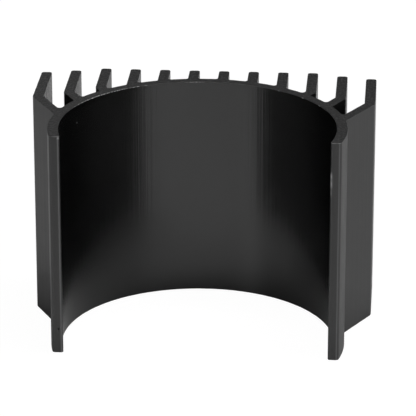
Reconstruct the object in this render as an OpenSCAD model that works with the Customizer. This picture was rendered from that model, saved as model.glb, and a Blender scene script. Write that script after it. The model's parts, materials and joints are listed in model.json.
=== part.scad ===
// Clip-on heat sink for a small electric motor.
// One aluminium extrusion: a C-shaped cradle that springs over the motor's can, and a row of parallel
// fins behind it. The fins keep one pitch, so those at the sides, where the round wall curves away from
// them, leave it on a slanted root and then turn straight back.
// Frame: the motor's axis is Z, the lower sawn end is at z = 0, and the fins point along +Y.

/* [Cradle] */
// Diameter of the motor can that the cradle holds
bore_d = 35.8; // [32:0.1:40]
// Thickness of the cradle wall
wall = 1.4; // [1:0.1:2]
// Length of the extrusion along the motor's axis
length = 30; // [15:1:60]
// How far the two tips wrap past the motor's axis
tip_reach = 5; // [3:0.1:7]
// Corner radius of the tips on the outside
tip_outer_r = 0.45; // [0.2:0.05:0.6]
// Corner radius of the tips on the motor's side
tip_inner_r = 0.3; // [0.1:0.05:0.4]

/* [Fins] */
// Distance from one fin to the next
fin_pitch = 4; // [3.6:0.05:4.4]
// Distance from the second fin to the outermost one
outer_pitch = 3.9; // [3.4:0.05:4.6]
// Thickness of every fin
fin_t = 1.4; // [1:0.1:1.8]
// How far the middle fins stand behind the back of the cradle
fin_rise = 3.35; // [2:0.05:8]
// How much shorter the second fin from each side is
second_step = 1.1; // [0:0.1:1.5]
// How much shorter the outermost fins are
outer_step = 2; // [0:0.1:3]
// Corner radius of the fin tips
fin_tip_r = 0.4; // [0.1:0.05:0.45]
// Fillet radius where a fin meets the cradle
root_r = 0.35; // [0.2:0.05:0.5]

/* [Slanted roots] */
// Angle round the cradle, up from the X axis, at which the outermost fins leave it
outer_root_angle = 11.5; // [8:0.5:15]
// Angle at which the second fins leave it
second_root_angle = 29.5; // [26:0.5:33]
// Angle at which the third fins leave it
third_root_angle = 45; // [42:0.5:48]
// Length of the outermost slanted root, along Y
outer_run = 6.8; // [5:0.1:8]
// Length of the second slanted root, along Y
second_run = 3.4; // [2.5:0.1:4.5]
// Length of the third slanted root, along Y
third_run = 1.7; // [1.5:0.1:2.5]
// Radius on the outside of the bend into the straight fin
bend_outer_r = 1.5; // [0.5:0.1:3]
// Radius on the inside of that bend
bend_inner_r = 0.5; // [0.2:0.1:1]

/* [Hidden] */
$fn = 96;
// Overlap by which each round runs into the flats that it blends
blend = 0.001;

inner_r = bore_d / 2;
outer_r = inner_r + wall;
middle_r = inner_r + wall / 2;
tip_line = outer_r + fin_rise;
half_t = fin_t / 2;

// One row for each slanted pair of fins, outermost first: root angle, run along Y, shortening of the tip
slanted = [
    [outer_root_angle, outer_run, outer_step],
    [second_root_angle, second_run, second_step],
    [third_root_angle, third_run, 0]
];
straight_pairs = 3;
fin_pairs = straight_pairs + len(slanted);

function unit(v) = v / norm(v);
// The direction turned a quarter to the right
function right_of(d) = [d[1], -d[0]];
// Place of a fin across the row, counted outwards from the middle
function fin_x(pair) = pair < fin_pairs
    ? (pair - 0.5) * fin_pitch
    : (pair - 1.5) * fin_pitch + outer_pitch;
// Where the line from p along d leaves the circle of radius r about the motor's axis
function on_circle(p, d, r) = p + d * (sqrt(pow(p * d, 2) - p * p + r * r) - p * d);

// What rounding a corner takes off: the wedge from c between directions a and b, less the round
module corner_waste(c, a, b, r) {
    reach = 2 * r;
    difference() {
        polygon([c, c + reach * a, c + reach * (a + b), c + reach * b]);
        translate(c) circle(r + blend);
    }
}

// What filling a corner adds: the kite from c to the metal behind the corner, less the round.
// The flats are touched at c + r * a and c + r * b, with b anticlockwise from a.
module corner_fill(c, a, b, r, in_metal) {
    difference() {
        polygon([c, c + r * a, in_metal, c + r * b]);
        translate(c) circle(r + blend);
    }
}

// Fillet between the cradle's outside and a flank through p along d: the side 1 is to the right of d,
// and -1 to its left
module root_fillet(p, d, side) {
    n = side * right_of(d);
    c = on_circle(p + n * root_r, d, outer_r + root_r);
    corner = on_circle(p, d, outer_r);
    in_metal = corner + unit(corner - c) * wall / 2;
    if (side > 0) corner_fill(c, -n, -unit(c), root_r, in_metal);
    else corner_fill(c, -unit(c), -n, root_r, in_metal);
}

// The two corners that are rounded off a fin's tip
module tip_waste(x, y) {
    inset = half_t - fin_tip_r;
    corner_waste([x + inset, y - fin_tip_r], [1, 0], [0, 1], fin_tip_r);
    corner_waste([x - inset, y - fin_tip_r], [0, 1], [-1, 0], fin_tip_r);
}

// Fin of the middle of the row, which meets the cradle square
module middle_fin(pair) {
    x = fin_x(pair);
    foot = sqrt(pow(middle_r, 2) - pow(x, 2));
    difference() {
        translate([x - half_t, foot]) square([fin_t, tip_line - foot]);
        tip_waste(x, tip_line);
    }
    for (side = [-1, 1])
        root_fillet([x + side * half_t, 0], [0, 1], side);
}

// Fin at the side of the row: a slanted root off the cradle, a bend, and a straight stretch
module slanted_fin(pair, root_angle, run, step) {
    x = fin_x(pair);
    tip = tip_line - step;
    root = middle_r * [cos(root_angle), sin(root_angle)];
    bend = [x, root[1] + run];
    slant = unit(bend - root);
    across = right_of(slant);
    right = [1, 0];
    // Both flanks turn on the line that halves the bend
    halving = unit(across + right) / (unit(across + right) * right);
    outer_corner = bend + halving * half_t;
    inner_corner = bend - halving * half_t;
    difference() {
        polygon([
            root + across * half_t, outer_corner, [x + half_t, tip],
            [x - half_t, tip], inner_corner, root - across * half_t
        ]);
        tip_waste(x, tip);
        corner_waste(outer_corner - halving * bend_outer_r, across, right, bend_outer_r);
    }
    corner_fill(inner_corner - halving * bend_inner_r, across, right, bend_inner_r, bend);
    for (side = [-1, 1])
        root_fillet(root + across * side * half_t, slant, side);
}

// Section of the cradle wall, with the corners of its two tips rounded
module cradle() {
    down = [0, -1];
    outer_c = on_circle([0, tip_outer_r - tip_reach], [1, 0], outer_r - tip_outer_r);
    inner_c = on_circle([0, tip_inner_r - tip_reach], [1, 0], inner_r + tip_inner_r);
    difference() {
        circle(outer_r);
        circle(inner_r);
        translate([-outer_r, -tip_reach - outer_r]) square([2 * outer_r, outer_r]);
        for (side = [0, 1]) mirror([side, 0]) {
            corner_waste(outer_c, down, unit(outer_c), tip_outer_r);
            corner_waste(inner_c, -unit(inner_c), down, tip_inner_r);
        }
    }
}

module heat_sink() {
    color("#2b2c2e")
    linear_extrude(length) {
        cradle();
        for (side = [0, 1]) mirror([side, 0]) {
            for (pair = [1 : straight_pairs]) middle_fin(pair);
            for (i = [0 : len(slanted) - 1])
                slanted_fin(fin_pairs - i, slanted[i][0], slanted[i][1], slanted[i][2]);
        }
    }
}

heat_sink();
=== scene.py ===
"""Clip-on motor heat sink: one black anodised aluminium extrusion standing on its sawn end on white paper."""

import json
import math

import bpy
import numpy as np
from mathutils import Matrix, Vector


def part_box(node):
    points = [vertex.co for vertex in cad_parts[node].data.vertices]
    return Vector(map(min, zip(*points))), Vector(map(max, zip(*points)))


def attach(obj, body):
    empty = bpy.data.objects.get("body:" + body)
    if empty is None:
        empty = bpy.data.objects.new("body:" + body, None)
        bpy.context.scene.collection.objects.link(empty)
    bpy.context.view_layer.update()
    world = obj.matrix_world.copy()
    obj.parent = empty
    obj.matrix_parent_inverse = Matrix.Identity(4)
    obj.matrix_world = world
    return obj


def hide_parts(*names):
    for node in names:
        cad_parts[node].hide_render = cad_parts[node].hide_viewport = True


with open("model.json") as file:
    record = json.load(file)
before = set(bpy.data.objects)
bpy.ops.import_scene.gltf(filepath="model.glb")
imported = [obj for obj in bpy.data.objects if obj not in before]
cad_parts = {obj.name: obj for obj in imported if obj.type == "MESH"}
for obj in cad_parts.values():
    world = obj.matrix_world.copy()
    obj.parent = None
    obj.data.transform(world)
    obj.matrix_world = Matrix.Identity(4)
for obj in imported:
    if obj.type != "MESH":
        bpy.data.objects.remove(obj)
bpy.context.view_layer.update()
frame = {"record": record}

# The heat sink: one length of an aluminium extrusion, a springy C-shaped cradle with parallel fins on its
# back. It is pushed through one die, so its section is the same all along, then sawn square at both ends,
# tumbled to break the sawn edges, and dyed and sealed in a black anodise.
MM = 0.001
low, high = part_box("heat_sink")
mounts = {mount["name"]: mount for mount in frame["record"]["mounts"]}
length = high.z - low.z
tip_reach = -low.y
tip_line = high.y
inner_r = mounts["motor_cradle"]["dims"]["r_mm"] * MM
wall = 1.4 * MM
outer_r = inner_r + wall
middle_r = inner_r + wall / 2
tip_outer_r = 0.45 * MM
tip_inner_r = 0.3 * MM
fin_t = 1.4 * MM
half_t = fin_t / 2
fin_pitch = 4 * MM
fin_tip_r = 0.4 * MM
fin_tip_wear = 0.3
root_r = 0.35 * MM
bend_outer_r = 1.5 * MM
bend_inner_r = 0.5 * MM
straight_pairs = 3
# Slanted pairs from the innermost out: root angle in degrees, run of the slant along Y, how much shorter
# the tip is
slanted_pairs = [(45, 1.7 * MM, 0), (29.5, 3.4 * MM, 1.1 * MM), (11.5, 6.8 * MM, 2 * MM)]
outermost_x = high.x - half_t

# The longest steps of the outline: on an arc, on the tips' fronts, on the bore, and on the fins
arc_step_angle = math.radians(9)
arc_step = 0.3 * MM
tip_step = 0.06 * MM
bore_step = 0.15 * MM
fin_step = 0.4 * MM

UP = np.array([0.0, 1.0])
RIGHT = np.array([1.0, 0.0])
AXIS = np.zeros(2)
ROUND = -1
HOLLOW = 1
WORN_AND_HIGHLIGHT = 4
BORE = 5


def unit(vector):
    """The vector divided by its own length."""
    return vector / np.linalg.norm(vector)


def on_circle(point, direction, radius):
    """Where the line from point along direction leaves the circle of radius about the motor's axis: the point
    plus t times the direction, with t the larger root of the quadratic for the distance from the axis."""
    along = point @ direction
    return point + direction * (math.sqrt(along**2 - point @ point + radius**2) - along)


def arc(centre, radius, start, end, turn, worn_and_highlight=0.0, bore=0.0):
    """One arc of the outline as rows of x, y, normal x, normal y, worn-and-highlight mark and bore.

    The angle runs evenly from direction start to direction end, clockwise on a ROUND and anticlockwise in a
    HOLLOW, and each point is the centre plus radius times its direction. The normal points out of the metal:
    along the direction on a round, against it in a hollow. The worn-and-highlight mark rises and falls once
    along the arc.
    """
    first = math.atan2(start[1], start[0])
    sweep = (turn * (math.atan2(end[1], end[0]) - first)) % math.tau
    count = 2 + int(max(sweep / arc_step_angle, sweep * radius / arc_step))
    share = np.linspace(0, 1, count)
    angle = first + turn * sweep * share
    direction = np.stack([np.cos(angle), np.sin(angle)], 1)
    marks = np.stack([worn_and_highlight * np.sin(np.pi * share), np.full(count, bore)], 1)
    return np.hstack([centre + radius * direction, -turn * direction, marks])


def fin(x, tip_y, root, slant, bend=None):
    """The arcs of one fin, from its left root fillet over the tip to its right one, and both fillet centres.

    A fillet's centre is root_r off the flank and root_r off the cradle's outside. A slanted fin also turns at
    its bend, where both flanks meet on the line that halves the turn.
    """
    across = np.array([slant[1], -slant[0]])
    aside = across * (half_t + root_r)
    left = on_circle(root - aside, slant, outer_r + root_r)
    right = on_circle(root + aside, slant, outer_r + root_r)
    inset = np.array([half_t - fin_tip_r, 0])
    middle = np.array([x, tip_y - fin_tip_r])
    tip = [
        arc(middle - inset, fin_tip_r, -RIGHT, UP, ROUND, worn_and_highlight=fin_tip_wear),
        arc(middle + inset, fin_tip_r, UP, RIGHT, ROUND, worn_and_highlight=fin_tip_wear),
    ]
    if bend is not None:
        halving = unit(across + RIGHT) / (unit(across + RIGHT) @ RIGHT)
        inner = bend - halving * (half_t + bend_inner_r)
        outer = bend + halving * (half_t - bend_outer_r)
        tip.insert(0, arc(inner, bend_inner_r, across, RIGHT, HOLLOW))
        tip.append(arc(outer, bend_outer_r, RIGHT, across, ROUND))
    first = arc(left, root_r, -left, across, HOLLOW)
    last = arc(right, root_r, -across, -right, HOLLOW)
    return [first, *tip, last], left, right


def right_half():
    """The outline of the right half, from the middle of the cradle's back round the fins and the tip, and
    along the inside to the middle again. Arcs follow each other, and what lies between them is straight."""
    fins = []
    for pair in range(1, straight_pairs + 1):
        x = (pair - 0.5) * fin_pitch
        fins.append(fin(x, tip_line, np.array([x, 0]), UP))
    for pair, (angle, run, step) in enumerate(slanted_pairs, straight_pairs + 1):
        x = min((pair - 0.5) * fin_pitch, outermost_x)
        root = middle_r * np.array([math.cos(math.radians(angle)), math.sin(math.radians(angle))])
        bend = np.array([x, root[1] + run])
        fins.append(fin(x, tip_line - step, root, unit(bend - root), bend))
    arcs = []
    reached = UP
    for pieces, left, right in fins:
        arcs += [arc(AXIS, outer_r, reached, left, ROUND), *pieces]
        reached = right
    outer = on_circle(np.array([0, tip_outer_r - tip_reach]), RIGHT, outer_r - tip_outer_r)
    inner = on_circle(np.array([0, tip_inner_r - tip_reach]), RIGHT, inner_r + tip_inner_r)
    arcs += [
        arc(AXIS, outer_r, reached, outer, ROUND),
        arc(outer, tip_outer_r, outer, -UP, ROUND),
        arc(inner, tip_inner_r, -UP, -inner, ROUND),
        arc(AXIS, inner_r, inner, UP, HOLLOW, bore=1),
    ]
    return np.vstack(arcs)


def filled_in(ring, longest):
    """The closed ring with each gap shared into equal steps, no longer than longest at its first point. A gap
    of less than a millionth of a millimetre is a doubled point, which is left out."""
    after = np.roll(ring, -1, 0)
    gap = np.linalg.norm(after[:, :2] - ring[:, :2], axis=1)
    steps = np.where(gap > 1e-6 * MM, np.ceil(gap / longest), 0).astype(int)
    which = np.repeat(np.arange(len(ring)), steps)
    share = (np.arange(steps.sum()) - np.repeat(np.cumsum(steps) - steps, steps)) / steps[which]
    return ring[which] + share[:, None] * (after[which] - ring[which])


def from_axis(ring):
    """The distance of the ring's points from the motor's axis."""
    return np.hypot(ring[:, 0], ring[:, 1])


def on_inner_side(ring):
    """True on the bore and on the tips' fronts, which lie nearer to the axis than the cradle's outside."""
    clear_of_outside = 0.05 * MM
    return from_axis(ring) < outer_r - clear_of_outside


# The left half mirrors the right one: x and the normal's x change sign, and the order turns round
half = right_half()
ring = np.vstack([half, (half * [-1, 1, -1, 1, 1, 1])[::-1]])
front_share = 0.9
longest = np.where(on_inner_side(ring), bore_step, fin_step)
longest[ring[:, 1] < front_share * low.y] = tip_step
outline = filled_in(ring, longest)
around = np.linalg.norm(np.roll(outline[:, :2], -1, 0) - outline[:, :2], axis=1).cumsum()
around = np.concatenate([[0], around])

# The fins' flanks face along X and stand clear of the cradle and its fillets
flank_facing = 0.98
flank = (np.abs(outline[:, 2]) > flank_facing) & (from_axis(outline) > outer_r + root_r)

# Painted highlight lines along three of the tips' corners, greyed into the colour: place along X and Y in
# millimetres, and how strong the highlight is
corner_highlight_lines = [((18.4, -4.98), 0.8), ((-17.5, -4.985), 1.0), ((-18.68, -4.775), 0.8)]
highlight_reach = 0.08 * MM
for place, highlight_strength in corner_highlight_lines:
    apart = np.linalg.norm(outline[:, :2] - np.array(place) * MM, axis=1) / highlight_reach
    outline[:, WORN_AND_HIGHLIGHT] = np.maximum(outline[:, WORN_AND_HIGHLIGHT], highlight_strength * np.exp(-(apart**2)))

# Stretches of the upper inner edge, rubbed in a beaded line and painted there as a highlight: from and to in
# degrees round the motor's axis, counted from +X, and how much of the film is gone and how bright it is
# painted
rubbed_and_highlight_stretches = [
    (148, 160, 0.3),
    (127, 150, 0.5),
    (91.5, 99, 0.25),
]
# Single spots of the same edge and of the tips' edges, in the same way: rubbed film with painted glints and
# highlights
rubbed_and_glint_spots = [
    (125.8, 125.9, 0.7),
    (124.2, 124.3, 0.4),
    (122.3, 122.6, 0.5),
    (120.3, 120.6, 0.8),
    (116.5, 117, 0.8),
    (57.2, 57.2, 0.7),
    (43.2, 43.6, 1.0),
    (31.0, 31.5, 1.0),
    (-15.2, -15.1, 0.4),
    (-16.1, -15.7, 0.4),
    (195.7, 196, 0.3),
]
rub_fade_degrees = 0.5
bead_contrast = 1.8


def uneven(seed, fewest, most, sines=24):
    """A smooth wander between about -1 and 1 round the outline: a sum of sines, each with a whole number of
    waves on it, from fewest to most, and a phase, both drawn from the seed."""
    draw = np.random.default_rng(seed)
    waves = draw.integers(fewest, most, sines)
    phases = draw.uniform(0, math.tau, sines)
    turned = around[:-1, None] / around[-1] * math.tau
    return np.sin(turned * waves + phases).sum(1) / math.sqrt(2 * sines)


beads = np.clip(1 + bead_contrast * uneven(seed=5, fewest=300, most=1000), 0, None)
degrees = (np.degrees(np.arctan2(outline[:, 1], outline[:, 0])) + 90) % 360 - 90
rubbed_and_highlight = np.zeros(len(outline))
for places, pattern in ((rubbed_and_highlight_stretches, beads), (rubbed_and_glint_spots, 1)):
    for start, end, gone in places:
        outside = np.clip(np.maximum(start - degrees, degrees - end), 0, None)
        even = gone * np.clip(1 - outside / rub_fade_degrees, 0, 1)
        rubbed_and_highlight = np.maximum(rubbed_and_highlight, even * pattern)
rubbed_and_highlight *= on_inner_side(outline)

# Chips and pits: place and reach along X, Y and Z in millimetres, depth, and how much of the film is gone
chips = [
    ((17.37, -4.9, 25.4), (0.14, 0.14, 0.4), 0.07, 0.7),
    ((17.37, -4.9, 24.4), (0.15, 0.15, 0.6), 0.06, 0.6),
    ((17.37, -4.9, 23.2), (0.12, 0.12, 0.4), 0.04, 0.3),
    ((-17.45, -4.9, 29.75), (0.12, 0.12, 0.15), 0.05, 0.4),
    ((-17.83, -5.0, 3.3), (0.1, 0.1, 0.11), 0.25, 0.0),
    ((-16.39, 7.19, 27.6), (0.12, 0.12, 0.12), 0.02, 0.16),
]

# The sawn edges' breaks: their size, how much it wanders, how much it grows where rubbed and painted bright,
# and their rings
edge_break = 0.055 * MM
break_wander = 0.35
break_growth = 0.5
break_rings = 4
# The rings between them: how many lie evenly, how many at a chip and over how many of its reaches, and how
# far they stay clear of the ends
plain_rings = 9
chip_rings = 7
chip_span = 1.8
clear_of_ends = 0.25 * MM


def ring_quads(rings, count):
    """The faces between rings of count points: a point, the same point of the next ring, that ring's next
    point, and the first ring's next point."""
    first = np.arange(rings - 1)[:, None] * count
    here = np.arange(count)[None, :]
    there = (here + 1) % count
    corners = [first + here, first + count + here, first + count + there, first + there]
    return np.stack(corners, 2).reshape(-1, 4).tolist()


def extrusion(name):
    """The outline carried along Z as a closed mesh.

    Ring by ring, the break at each end is a quarter turn t: the outline moves in by break times (1 - sin t)
    and away from the end by break times (1 - cos t), so it is tangent to the sawn end and to the wall. The
    break wanders round the outline and grows where it is rubbed and painted bright. Plain rings lie between
    the breaks, close together at each chip. A chip sinks the wall by its depth times exp(-q), with q the sum
    of the squares of the distance over the reach, and its slope tilts the normal. The ends are capped.
    """
    count = len(outline)
    chip_levels = np.linspace(-chip_span, chip_span, chip_rings)
    crowded = [(place[2] + reach[2] * chip_levels) * MM for place, reach, *_ in chips]
    levels = np.concatenate([*crowded, np.linspace(0, length, plain_rings)])
    levels = np.unique(levels.clip(clear_of_ends, length - clear_of_ends).round(6))
    quarter = np.linspace(0, np.pi / 2, break_rings)
    flush = np.ones(break_rings)
    turn = np.concatenate([quarter, np.full(len(levels), np.pi / 2), quarter[::-1]])[:, None]
    level = np.concatenate([0 * flush, levels, length * flush])[:, None]
    away = np.concatenate([flush, 0 * levels, -flush])[:, None]

    lower = uneven(seed=3, fewest=20, most=260)
    upper = uneven(seed=8, fewest=20, most=260)
    wander = np.where(away > 0, lower, upper)
    size = edge_break * (1 + break_wander * wander + break_growth * rubbed_and_highlight)
    flat = outline[None, :, :2] - outline[None, :, 2:4] * (size * (1 - np.sin(turn)))[:, :, None]
    height = level + away * size * (1 - np.cos(turn))
    points = np.concatenate([flat, height[:, :, None]], 2)
    sideways = outline[None, :, 2:4] * np.sin(turn)[:, :, None]
    tilt = np.broadcast_to(-away * np.cos(turn), height.shape)
    normals = np.concatenate([sideways, tilt[:, :, None]], 2)
    bare = np.zeros(height.shape)
    for place, reach, depth, gone in chips:
        offset = (points - np.array(place) * MM) / (np.array(reach) * MM)
        sunk = np.exp(-(offset**2).sum(2))[:, :, None]
        slope = -2 * depth * sunk * offset / np.array(reach)
        slope -= (slope * normals).sum(2, keepdims=True) * normals
        points = points - depth * MM * sunk * normals
        normals = normals + slope
        normals /= np.linalg.norm(normals, axis=2, keepdims=True)
        bare = np.maximum(bare, gone * sunk[:, :, 0])

    rings = len(turn)
    last = (rings - 1) * count
    lower_cap = list(range(count))
    upper_cap = list(range(last + count - 1, last - 1, -1))
    mesh = bpy.data.meshes.new(name)
    mesh.from_pydata(points.reshape(-1, 3).tolist(), [], [*ring_quads(rings, count), lower_cap, upper_cap])
    mesh.shade_smooth()
    mesh.normals_split_custom_set_from_vertices(normals.reshape(-1, 3).tolist())

    near = np.broadcast_to(around[:-1], (rings - 1, count))
    far = np.broadcast_to(around[1:], (rings - 1, count))
    beside = np.roll(height, -1, 1)
    u = np.stack([near, near, far, far], 2).reshape(-1)
    v = np.stack([height[:-1], height[1:], beside[1:], beside[:-1]], 2).reshape(-1)
    caps = np.concatenate([flat[0], flat[-1][::-1]])
    places = np.concatenate([np.stack([u, v], 1), caps])
    mesh.uv_layers.new(name="outline").data.foreach_set("uv", places.astype(np.float32).ravel())

    marks = {
        "sawn": np.broadcast_to(np.cos(turn), height.shape),
        "worn_and_highlight": np.broadcast_to(outline[:, WORN_AND_HIGHLIGHT], height.shape),
        "bore": np.broadcast_to(outline[:, BORE], height.shape),
        "flank": np.broadcast_to(flank, height.shape),
        "rubbed_and_highlight": np.where(away < 0, rubbed_and_highlight, 0),
        "bare": bare,
    }
    for mark, values in marks.items():
        layer = mesh.attributes.new(mark, "FLOAT", "POINT")
        layer.data.foreach_set("value", values.astype(np.float32).ravel())
    piece = bpy.data.objects.new(name, mesh)
    bpy.context.scene.collection.objects.link(piece)
    return piece


class Socket:
    """A node's output under Python's operators: each operator adds one Math node and gives its output."""

    def __init__(self, tree, output=None):
        self.tree = tree
        self.output = output

    def node(self, kind, settings=None, sockets=None, result=0):
        """Adds a node of a kind, makes its settings first, and then gives its sockets values or links."""
        made = self.tree.nodes.new(kind)
        for name, value in (settings or {}).items():
            setattr(made, name, value)
        for name, value in (sockets or {}).items():
            if isinstance(value, Socket):
                self.tree.links.new(value.output, made.inputs[name])
            else:
                made.inputs[name].default_value = value
        return Socket(self.tree, made.outputs[result])

    def math(self, operation, first, second):
        """Adds a Math node on two sockets, or on a socket and a number."""
        return self.node("ShaderNodeMath", {"operation": operation}, {0: first, 1: second})

    def __add__(self, other):
        return self.math("ADD", self, other)

    def __radd__(self, other):
        return self.math("ADD", other, self)

    def __sub__(self, other):
        return self.math("SUBTRACT", self, other)

    def __rsub__(self, other):
        return self.math("SUBTRACT", other, self)

    def __mul__(self, other):
        return self.math("MULTIPLY", self, other)

    def __rmul__(self, other):
        return self.math("MULTIPLY", other, self)


# The film's colours, where it is whole, where it is thin, and where the metal is bare
black_film = (0.0005, 0.0005, 0.00055, 1)
# The grey also paints highlight lines on three of the tips' corners
grey_film_and_highlight = (0.19, 0.19, 0.194, 1)
# The bare-metal colour also paints highlights and glints along the sawn edges, over the rubbed film
bare_metal_and_highlight = (0.9, 0.9, 0.91, 1)
film_index = 1.8
# How grey broken edges are, and worn corners with the painted highlight lines, and the saw's grain: its noise
# times one value, less the other
edge_grey = 0.3
worn_and_highlight_grey = 0.6
grain_grey = 0.7
grain_black = 0.33
# Noise cells per metre: die lines round the outline and along it, saw grain across and from front to back
fine_line_cells = (5200, 30, 0)
broad_line_cells = (1500, 12, 0)
saw_cells = (3600, 1500, 0)
mottle_cells = 420
fine_line_share = 0.5
broad_line_share = 0.8
die_line_depth = 0.015 * MM
saw_depth = 0.14 * MM
# The walls' roughness, and what the bore, the fins' flanks, the sawn ends and the mottle change of it
wall_roughness = 0.36
bore_smoother = 0.13
flank_smoother = 0.11
sawn_rougher = 0.14
mottle_rougher = 0.05


def black_anodise():
    """Black sealed anodise over extruded walls and sawn ends.

    The walls carry die lines: a fine and a broad noise, added up as bump, that change quickly round the
    outline and hardly along it. The sawn ends carry the saw's grain, a noise drawn out from front to back,
    as bump and as grey. Edges and corners are greyer by their marks, and on three of the tips' corners that
    grey is a painted highlight. The colour goes over to bare metal where the film is gone at chips and rubbed
    stretches, and the same colour paints highlights and glints along the sawn edges. Roughness is the wall's,
    less on the bore and on the fins' flanks, more on the sawn ends, and mottled all over.
    """
    material = bpy.data.materials.new("black_anodise")
    material.use_nodes = True
    tree = material.node_tree
    shader = tree.nodes["Principled BSDF"]
    start = Socket(tree)

    def mark(name):
        """The value of one of the mesh's marks."""
        return start.node("ShaderNodeAttribute", {"attribute_name": name}, result="Fac")

    def noise(where, cells):
        """Flat noise on a place that is multiplied by the cells per metre along each axis."""
        stretched = start.node("ShaderNodeVectorMath", {"operation": "MULTIPLY"}, {0: where, 1: cells})
        flat = {"noise_dimensions": "2D"}
        return start.node("ShaderNodeTexNoise", flat, {"Vector": stretched, "Scale": 1})

    def mixed(share, first, second):
        """The first colour with a share of the second in its place."""
        return start.node("ShaderNodeMix", {"data_type": "RGBA"}, {0: share, 6: first, 7: second}, result=2)

    # On a break, edge is 1 where the sawn mark is a half. It is 0 on the sawn end and on the wall
    sawn = mark("sawn")
    on_wall = 1 - sawn
    edge = sawn * on_wall * 4
    bore = mark("bore") * on_wall
    # The worn mark is wear on the fins' tips and painted highlight lines on three of the tips' corners
    worn_and_highlight = mark("worn_and_highlight") * on_wall
    # Film gone is bare metal at chips and rubbed stretches, and painted highlights and glints along the sawn
    # edges
    film_gone_and_highlight = mark("rubbed_and_highlight") * edge + mark("bare") * on_wall
    outline_map = start.node("ShaderNodeUVMap", {"uv_map": "outline"})
    place = start.node("ShaderNodeTexCoord", result="Object")

    lines = noise(outline_map, fine_line_cells) * fine_line_share
    lines = lines + noise(outline_map, broad_line_cells) * broad_line_share
    grain = noise(place, saw_cells)
    mottle = start.node("ShaderNodeTexNoise", {}, {"Vector": place, "Scale": mottle_cells, "Detail": 2})

    height = lines * on_wall * die_line_depth + grain * sawn * saw_depth
    bump = start.node("ShaderNodeBump", {}, {"Strength": 1, "Distance": 1, "Height": height})
    greyed = edge * edge_grey + worn_and_highlight * worn_and_highlight_grey + sawn * (grain * grain_grey - grain_black)
    colour = mixed(film_gone_and_highlight, mixed(greyed, black_film, grey_film_and_highlight), bare_metal_and_highlight)
    roughness = wall_roughness - bore * bore_smoother - mark("flank") * on_wall * flank_smoother
    roughness = roughness + sawn * sawn_rougher + mottle * mottle_rougher
    tree.links.new(colour.output, shader.inputs["Base Color"])
    tree.links.new(roughness.output, shader.inputs["Roughness"])
    tree.links.new(bump.output, shader.inputs["Normal"])
    shader.inputs["IOR"].default_value = film_index
    return material


heat_sink = extrusion("heat_sink_finished")
heat_sink.data.materials.append(black_anodise())
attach(heat_sink, "root")
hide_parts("heat_sink")


# The paper: a white sheet under the object that sweeps up far behind it on every side. The camera sees it
# nearly blown out, with a faint contact shadow. The object mirrors a second, plainly lit sheet in its place.
def sheet(name, material, flat_r, sweep_r, rise, spokes=96, flat_rings=6, sweep_rings=14, first_share=0.02):
    """A round sheet: flat out to flat_r, then rising by the square of the distance to rise at sweep_r."""
    angle = np.linspace(0, math.tau, spokes, endpoint=False)
    flat = np.linspace(first_share, 1, flat_rings) * flat_r
    radius = np.concatenate([flat, np.linspace(flat_r, sweep_r, sweep_rings)[1:]])
    lift = rise * np.clip((radius - flat_r) / (sweep_r - flat_r), 0, 1) ** 2
    across, turned = np.meshgrid(radius, angle, indexing="ij")
    height = np.broadcast_to(lift[:, None], across.shape)
    points = np.stack([across * np.cos(turned), across * np.sin(turned), height], 2).reshape(-1, 3)
    mesh = bpy.data.meshes.new(name)
    mesh.from_pydata(points.tolist(), [], [*ring_quads(len(radius), spokes), list(range(spokes))])
    mesh.shade_smooth()
    mesh.materials.append(material)
    piece = bpy.data.objects.new(name, mesh)
    bpy.context.scene.collection.objects.link(piece)
    return piece


def paper(name, white, gloss, glow):
    """Paper of a whiteness and gloss, which also glows by itself where it is meant to blow out."""
    material = bpy.data.materials.new(name)
    material.use_nodes = True
    shader = material.node_tree.nodes["Principled BSDF"]
    shader.inputs["Base Color"].default_value = (white, white, white, 1)
    shader.inputs["Roughness"].default_value = 0.3
    shader.inputs["Specular IOR Level"].default_value = gloss
    shader.inputs["Emission Color"].default_value = (1, 1, 1, 1)
    shader.inputs["Emission Strength"].default_value = glow
    return material


blown_out_paper = paper("blown_out_paper", white=0.08, gloss=0, glow=0.975)
seen_paper = sheet("seen_paper", blown_out_paper, flat_r=0.9, sweep_r=1.8, rise=1.2)
seen_paper.visible_diffuse = False
seen_paper.visible_glossy = False
seen_paper.visible_shadow = False
lit_paper = paper("lit_paper", white=0.85, gloss=0.5, glow=0)
mirrored_paper = sheet("mirrored_paper", lit_paper, flat_r=0.9, sweep_r=1.0, rise=0.01)
mirrored_paper.visible_camera = False
mirrored_paper.visible_shadow = False


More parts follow.
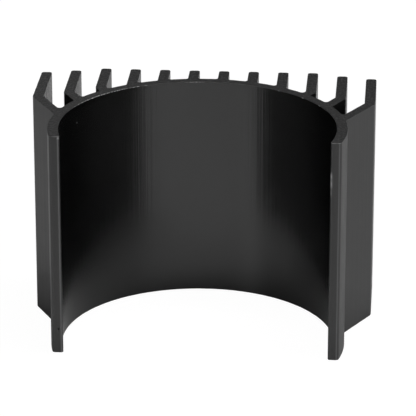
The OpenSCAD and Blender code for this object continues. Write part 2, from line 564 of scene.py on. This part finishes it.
# The light: seven soft boxes in a dark room. A wide low one in front shines into the cradle, one at each
# side lights the outer fins, two hang over the sawn ends, and two weak ones stand behind the fins.
def soft_box(name, azimuth, elevation, distance, width, height, power):
    """A soft box that faces the object from an azimuth, counted from -Y towards +X, and an elevation, both in
    degrees: its place is the distance times that direction. Its size is in metres and its power in watts."""
    lamp = bpy.data.lights.new(name, "AREA")
    lamp.shape = "RECTANGLE"
    lamp.size = width
    lamp.size_y = height
    lamp.energy = power
    box = bpy.data.objects.new(name, lamp)
    turn = math.radians(azimuth)
    tilt = math.radians(elevation)
    box.location = (
        distance * math.sin(turn) * math.cos(tilt),
        -distance * math.cos(turn) * math.cos(tilt),
        distance * math.sin(tilt),
    )
    box.rotation_euler = (math.pi / 2 - tilt, 0, turn)
    box.visible_camera = False
    bpy.context.scene.collection.objects.link(box)


soft_box("front_box", azimuth=12, elevation=20, distance=0.5, width=1.4, height=0.12, power=0.815)
soft_box("left_box", azimuth=305, elevation=25, distance=0.5, width=0.3, height=0.3, power=0.397)
soft_box("right_box", azimuth=85, elevation=35, distance=0.5, width=0.35, height=0.35, power=0.87)
soft_box("high_box", azimuth=110, elevation=70, distance=0.4, width=0.1, height=0.1, power=0.301)
soft_box("top_box", azimuth=180, elevation=80, distance=0.4, width=0.1, height=0.1, power=0.306)
soft_box("rear_left_box", azimuth=210, elevation=30, distance=0.12, width=0.06, height=0.06, power=0.003)
soft_box("rear_right_box", azimuth=170, elevation=15, distance=0.5, width=0.3, height=0.15, power=0.026)
room = bpy.data.worlds.new("room")
room.use_nodes = True
room.node_tree.nodes["Background"].inputs["Strength"].default_value = 0
bpy.context.scene.world = room
bpy.context.scene.view_settings.view_transform = "Standard"

# The camera: a long lens in front of the cradle's mouth, a little to the right of it and looking down. Its
# focal length is given in pixels of the photograph's frame.
FRAME_PIXELS = 416
view_azimuth = math.radians(4.008)
view_elevation = math.radians(21.112)
view_distance = 398.4 * MM
view_aim = np.array([0.853, 7.153, 16.078]) * MM
focal_pixels = 3013
lens = bpy.data.cameras.new("camera")
lens.sensor_width = 36
lens.lens = focal_pixels / FRAME_PIXELS * lens.sensor_width
lens.clip_start = 0.05
lens.clip_end = 10
camera = bpy.data.objects.new("camera", lens)
back = np.array([
    math.sin(view_azimuth) * math.cos(view_elevation),
    -math.cos(view_azimuth) * math.cos(view_elevation),
    math.sin(view_elevation),
])
camera.location = view_aim + back * view_distance
camera.rotation_euler = (math.pi / 2 - view_elevation, 0, view_azimuth)
bpy.context.scene.collection.objects.link(camera)
bpy.context.scene.camera = camera
